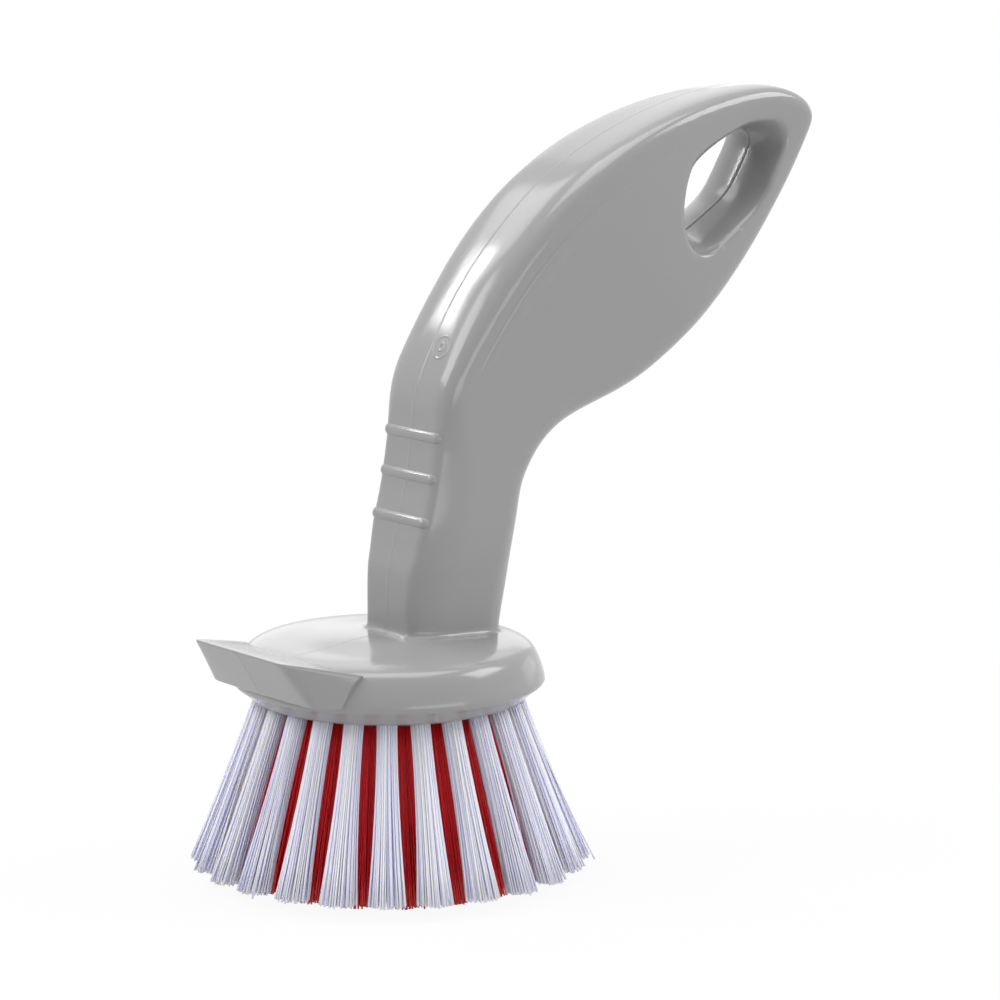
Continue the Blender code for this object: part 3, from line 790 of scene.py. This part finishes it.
def crease_grid(sizes, body, side):
    """The crease of one side panel, a raised line just inside the rounding of the edge.

    At its two ends it sinks into the wall by height (1 - strength), where the strength
    rises and falls along its rows.
    """
    first, full, fading, last = CREASE_ROWS
    places = np.linspace(first, last, 170)
    points, inward, widths = outline_rows(sizes, places)
    deep = points + inward * (widths[:, 1:2] + 0.35 * MM)
    path = np.stack([deep[:, 0], side * widths[:, 0], deep[:, 1]], axis=1)
    normals = np.zeros_like(path)
    normals[:, 1] = side
    band = body[body[:, 1] * side > 8.0 * MM]
    path = settled(path, normals, band[np.linalg.norm(band[:, ::2] - deep.mean(0), axis=1) < 0.05])
    strength = fade(places, first, full) * (1.0 - fade(places, fading, last))
    one, other = (CREASE_STEEP, CREASE_SOFT) if side < 0.0 else (CREASE_SOFT, CREASE_STEEP)
    grid = bead_grid(path, normals, one, CREASE_HEIGHT, other_width=other)
    grid[..., 1] -= side * CREASE_HEIGHT * (1.0 - strength)[:, None]
    return grid


def gate_grid(sizes, body, radius):
    """A raised circle of that radius on the grip's outer face, beside the parting line."""
    points, inward, _ = outline_rows(sizes, np.array([GATE_ROW]))
    normal = lifted(-inward, 0.0)
    centre = lifted(points, GATE_ASIDE)
    along = np.array([[-inward[0, 1], 0.0, inward[0, 0]]])
    turn = np.linspace(0.0, 2.0 * math.pi, 49)[:-1, None]
    band = body[np.linalg.norm(body - centre, axis=1) < 6.0 * MM]
    path = centre + radius * (np.cos(turn) * along + np.sin(turn) * np.array([[0.0, 1.0, 0.0]]))
    normals = np.repeat(normal, len(path), axis=0)
    return bead_grid(settled(path, normals, band), normals, *GATE_LINE, closed=True)


def hole_seam_grid(sizes, middle):
    """A raised line round the waist of the hang hole, facing into the hole."""
    loop = hole_grid(sizes)
    waist = loop[len(loop) // 2]
    out = waist - waist.mean(0)
    along = np.roll(waist, -1, 0) - np.roll(waist, 1, 0)
    normals = np.cross(along, np.array([0.0, 1.0, 0.0]))
    normals /= np.linalg.norm(normals, axis=1)[:, None]
    normals *= -np.sign((normals * out).sum(1))[:, None]
    return bead_grid(settled(waist, normals, middle), normals, *HOLE_SEAM, closed=True)


def lay_line(name, grid, caps=()):
    """Make a raised line a piece of the moulding."""
    made = new_object(name, shell_mesh(name, grid, caps=caps))
    dress(made, "moulded_polypropylene", "grey_plastic")


class BRUSH_OT_mould_lines(bpy.types.Operator):
    """Build the fine raised lines of the moulding: parting lines, creases, gate mark and seam"""

    bl_idname = "brush.mould_lines"
    bl_label = "Mould Lines"

    def execute(self, context):
        """Lay the lines on the surface of the moulded body, one piece for each."""
        sizes = context.scene.brush_sizes
        mesh = bpy.data.objects["moulded_body"].data
        body = np.empty(len(mesh.vertices) * 3, dtype=np.float32)
        mesh.vertices.foreach_get("co", body)
        body = body.reshape(-1, 3).astype(float)
        middle = body[np.abs(body[:, 1]) < 1.2 * MM]
        moulded, scraper = parting_paths(sizes)
        paths = [(settled(path, normals, middle), normals) for path, normals in moulded]
        for index, (path, normals) in enumerate(paths + scraper):
            grid = bead_grid(path, normals, *PARTING_LINE)
            lay_line("parting_line_%d" % (index + 1), grid, caps=(0, -1))
        for side, label in ((-1.0, "near"), (1.0, "far")):
            lay_line("panel_edge_" + label, crease_grid(sizes, body, side), caps=(0, -1))
        for name, radius in GATE_CIRCLES:
            lay_line(name, gate_grid(sizes, body, radius))
        lay_line("hang_hole_seam", hole_seam_grid(sizes, middle))
        return {"FINISHED"}


def tuft_grid(sizes, chance, turn, ring, tip_ring, spread, tip_height):
    """All strands of one tuft as a function of strand, place along it and turn round it.

    The strands fill a round hole in a sunflower pattern: strand i of n stands at radius
    sqrt(i / n) and at i golden angles.  Each leaves along the tuft's axis and bends to
    the same place of a wider ellipse at the tips, on a quadratic Bezier curve.
    """
    count = sizes.strands_per_tuft
    order = np.arange(count) + 0.5
    radius = np.sqrt(order / count)
    angle = order * math.pi * (3.0 - math.sqrt(5.0)) + chance.uniform(0.0, 6.0)
    u = radius * np.cos(angle)
    v = radius * np.sin(angle)
    out = np.array([math.cos(turn), math.sin(turn), 0.0])
    side = np.array([-math.sin(turn), math.cos(turn), 0.0])
    place = np.array([HEAD_X, 0.0, 0.0])
    mouth = place + out * ring + np.array([0.0, 0.0, rim_height(sizes) - face_drop(ring)])
    tip = place + out * tip_ring + np.array([0.0, 0.0, tip_height])
    axis = (tip - mouth) / np.linalg.norm(tip - mouth)
    across = np.cross(axis, side)
    root = mouth - axis * ROOT_DEPTH + (side * u[:, None] + across * v[:, None]) * ROOT_RADIUS
    stray = chance.normal(0.0, TIP_STRAY, (count, 2))
    wide_stray = chance.normal(0.0, WIDE_STRAY, (count, 2))
    stray = stray + wide_stray * (chance.random((count, 1)) < WIDE_STRAY_SHARE)
    goal = tip + side * (u * spread[0] + stray[:, 0])[:, None]
    goal = goal + out * (v * spread[1] + stray[:, 1])[:, None]
    goal[:, 2] += np.abs(chance.normal(0.0, TIP_RAGGEDNESS, count))
    goal[:, 2] += chance.uniform(0.0, SHORTER_BY, count) * (chance.random(count) < SHORTER_SHARE)
    pull = root + axis * (0.45 * np.linalg.norm(goal - root, axis=1))[:, None]
    t = np.linspace(0.0, 1.0, 7)[None, :, None]
    path = (1 - t) ** 2 * root[:, None] + 2 * t * (1 - t) * pull[:, None] + t ** 2 * goal[:, None]
    ring_turn = np.linspace(0.0, 2.0 * math.pi, 6)[:-1] + 0.3
    rim = side * np.cos(ring_turn)[:, None] + across * np.sin(ring_turn)[:, None]
    return path[:, :, None, :] + rim[None, None] * sizes.strand_radius


def strand_mesh(name, grid, chance):
    """A mesh of closed strands, each point marked with its strand's tone."""
    count, stations, sides = grid.shape[:3]
    one = grid_faces(stations, sides, True)
    size = stations * sides
    start = (np.arange(count) * size)[:, None, None]
    quads = (one[None] + start).reshape(-1, 4)
    low = np.arange(sides)[::-1][None, :] + start[:, 0]
    high = np.arange(size - sides, size)[None, :] + start[:, 0]
    mesh = bpy.data.meshes.new(name)
    mesh.from_pydata(grid.reshape(-1, 3).tolist(), [], quads.tolist() + low.tolist() + high.tolist())
    smooth = np.ones(len(mesh.polygons), dtype=bool)
    smooth[len(quads):] = False
    mesh.polygons.foreach_set("use_smooth", smooth)
    tone = np.repeat(chance.random(count), size).astype(np.float32)
    mesh.attributes.new("strand_tone", "FLOAT", "POINT").data.foreach_set("value", tone)
    return mesh


def build_ring(context, label, share, ring, tip_ring, spread, tip_height, material, slot):
    """Build every tuft of one ring in place of its stand-in.

    The first stands off the front by its share of the pitch.
    """
    sizes = context.scene.brush_sizes
    names = [name for name in TUFT_NODES if name.startswith("tuft_" + label)]
    if not names:
        raise RuntimeError("the frame has no %s tufts" % label)
    for index, node in enumerate(names):
        chance = np.random.default_rng(100 * len(names) + index)
        turn = math.pi + 2.0 * math.pi * (index + share) / len(names)
        grid = tuft_grid(sizes, chance, turn, ring, tip_ring, spread, tip_height)
        name = "%s_bristles_%02d" % (label, index + 1)
        made = new_object(name, strand_mesh(name, grid, chance))
        dress(made, material, slot, node)


class BRUSH_OT_white_tufts(bpy.types.Operator):
    """Build the outer ring of white bristle tufts"""

    bl_idname = "brush.white_tufts"
    bl_label = "White Tufts"

    def execute(self, context):
        """Fan each tuft out of its hole to a wide, slightly ragged tip."""
        build_ring(
            context, "outer", share=0.5, ring=26.0 * MM, tip_ring=38.5 * MM,
            spread=(3.8 * MM, 2.9 * MM), tip_height=2.7 * MM,
            material="nylon_bristle_white", slot="white_bristle",
        )
        return {"FINISHED"}


class BRUSH_OT_red_tufts(bpy.types.Operator):
    """Build the inner ring of red bristle tufts"""

    bl_idname = "brush.red_tufts"
    bl_label = "Red Tufts"

    def execute(self, context):
        """Fan each tuft out of its hole down to the ground."""
        build_ring(
            context, "inner", share=0.0, ring=19.5 * MM, tip_ring=29.4 * MM,
            spread=(3.3 * MM, 2.8 * MM), tip_height=0.2 * MM,
            material="nylon_bristle_red", slot="red_bristle",
        )
        return {"FINISHED"}


def soft_lamp(name, aim, toward, distance, size, power, lean):
    """A rectangular softbox, seen from its aim in a direction, with its long side leaning."""
    light = bpy.data.lights.new(name, "AREA")
    light.shape = "RECTANGLE"
    light.size, light.size_y = size
    light.energy = power
    back = Vector(toward).normalized()
    level = Vector((0.0, 0.0, 1.0)).cross(back).normalized()
    rise = back.cross(level)
    long = level * math.cos(lean) + rise * math.sin(lean)
    turned = Matrix((long, back.cross(long), back)).transposed().to_4x4()
    made = new_object(name, light)
    made.matrix_world = Matrix.Translation(Vector(aim) + back * distance) @ turned


def seen_directly(tree):
    """A socket that is 1 for camera, glossy and transmission rays, and 0 for light."""
    rays = add_node(tree, "ShaderNodeLightPath")
    seen = add_node(
        tree, "ShaderNodeMath", {"operation": "MAXIMUM"},
        links={0: rays.outputs["Is Camera Ray"], 1: rays.outputs["Is Glossy Ray"]},
    )
    seen = add_node(
        tree, "ShaderNodeMath", {"operation": "MAXIMUM"},
        links={0: seen.outputs["Value"], 1: rays.outputs["Is Transmission Ray"]},
    )
    return seen.outputs["Value"]


def matt_white_paper():
    """Uncoated white paper.

    To the eye: an even white sheet without gloss that keeps the brush's soft shadow and
    turns to pure white away from it.
    """
    made, tree, output = blank_material("matt_white_paper")
    diffuse = add_node(tree, "ShaderNodeBsdfDiffuse", inputs={"Color": linear("#dadada")})
    glow = add_node(tree, "ShaderNodeEmission", inputs={"Strength": 1.0})
    seen = seen_directly(tree)
    places = add_node(tree, "ShaderNodeTexCoord").outputs["Object"]
    away = add_node(tree, "ShaderNodeVectorMath", {"operation": "LENGTH"}, links={0: places})
    open_floor = add_node(
        tree, "ShaderNodeMapRange", {"interpolation_type": "SMOOTHSTEP"},
        inputs={"From Min": 0.06, "From Max": 0.22, "To Min": 0.93, "To Max": 1.0},
        links={"Value": away.outputs["Value"]},
    )
    share = add_node(
        tree, "ShaderNodeMath", {"operation": "MULTIPLY"},
        links={0: seen, 1: open_floor.outputs["Result"]},
    )
    mixed = add_node(tree, "ShaderNodeMixShader", links={"Fac": share.outputs["Value"]})
    tree.links.new(diffuse.outputs["BSDF"], mixed.inputs[1])
    tree.links.new(glow.outputs["Emission"], mixed.inputs[2])
    tree.links.new(mixed.outputs["Shader"], output.inputs["Surface"])
    return made


def lay_floor():
    """A flat paper sheet, three metres square, under the brush."""
    step = np.linspace(-1.5, 1.5, 7)
    grid = np.zeros((7, 7, 3))
    grid[..., 0] = step[:, None]
    grid[..., 1] = step[None, :]
    floor = new_object("floor", bpy.data.meshes.new("floor"))
    floor.data.from_pydata(grid.reshape(-1, 3).tolist(), [], grid_faces(7, 7, False).tolist())
    floor.data.materials.append(matt_white_paper())


def white_surroundings():
    """A world that looks pure white and lights the brush at half that strength."""
    world = bpy.data.worlds.new("white_surroundings")
    world.use_nodes = True
    tree = world.node_tree
    tree.nodes.clear()
    level = add_node(
        tree, "ShaderNodeMapRange", inputs={"To Min": 0.5, "To Max": 1.0},
        links={"Value": seen_directly(tree)},
    )
    sky = add_node(
        tree, "ShaderNodeBackground", inputs={"Color": (1.0, 1.0, 1.0, 1.0)},
        links={"Strength": level.outputs["Result"]},
    )
    output = add_node(tree, "ShaderNodeOutputWorld")
    tree.links.new(sky.outputs["Background"], output.inputs["Surface"])
    return world


def photo_camera():
    """A camera at the photo's viewing angle."""
    camera = bpy.data.cameras.new("photo_view")
    camera.lens = CAMERA_LENS
    camera.sensor_width = 36.0
    camera.clip_start = 0.01
    seat = new_object("photo_view", camera)
    azimuth = math.radians(CAMERA_AZIMUTH)
    height = math.radians(CAMERA_HEIGHT)
    level = math.cos(height)
    back = Vector((math.sin(azimuth) * level, -math.cos(azimuth) * level, math.sin(height)))
    seat.location = Vector(CAMERA_TARGET) + back * CAMERA_DISTANCE
    seat.rotation_euler = (-back).to_track_quat("-Z", "Y").to_euler()
    return seat


class BRUSH_OT_studio(bpy.types.Operator):
    """Set the floor, the soft lamps, the white surroundings and the camera"""

    bl_idname = "brush.studio"
    bl_label = "Studio"

    def execute(self, context):
        """Build the stage round the finished brush."""
        scene = context.scene
        scene.view_settings.view_transform = "Standard"
        lay_floor()
        scene.world = white_surroundings()
        aims = {
            "grip": (HEAD_X + 20.0 * MM, 0.0, rim_height(scene.brush_sizes) + 80.0 * MM),
            "middle": (0.0, 0.0, 80.0 * MM),
        }
        for name, aim, toward, distance, size, power, lean in SOFTBOXES:
            soft_lamp(name, aims[aim], toward, distance, size, power, math.radians(lean))
        scene.camera = photo_camera()
        return {"FINISHED"}


class BRUSH_PT_sidebar(bpy.types.Panel):
    """Lists the steps that build the brush"""

    bl_idname = "BRUSH_PT_sidebar"
    bl_label = "Dish Brush"
    bl_space_type = "VIEW_3D"
    bl_region_type = "UI"
    bl_category = "Dish Brush"

    def draw(self, context):
        """Show the sizes, the colours and a button for each step."""
        for group in (context.scene.brush_sizes, context.scene.brush_colours):
            for name in group.__annotations__:
                self.layout.prop(group, name)
        for step in STEPS:
            self.layout.operator(step.bl_idname)


STEPS = (
    BRUSH_OT_body, BRUSH_OT_scraper, BRUSH_OT_thumb_bars, BRUSH_OT_mould_lines,
    BRUSH_OT_white_tufts, BRUSH_OT_red_tufts, BRUSH_OT_studio,
)
CLASSES = (BrushSizes, BrushColours, *STEPS, BRUSH_PT_sidebar)


def register():
    """Register the classes and hang the settings on the scene."""
    for item in CLASSES:
        bpy.utils.register_class(item)
    bpy.types.Scene.brush_sizes = bpy.props.PointerProperty(type=BrushSizes)
    bpy.types.Scene.brush_colours = bpy.props.PointerProperty(type=BrushColours)


def unregister():
    """Take the settings and the classes away again."""
    del bpy.types.Scene.brush_colours
    del bpy.types.Scene.brush_sizes
    for item in reversed(CLASSES):
        bpy.utils.unregister_class(item)


def main():
    """Build every piece in order."""
    register()
    bpy.ops.brush.body()
    bpy.ops.brush.scraper()
    bpy.ops.brush.thumb_bars()
    bpy.ops.brush.mould_lines()
    bpy.ops.brush.white_tufts()
    bpy.ops.brush.red_tufts()
    bpy.ops.brush.studio()


if __name__ == "__main__":
    main()
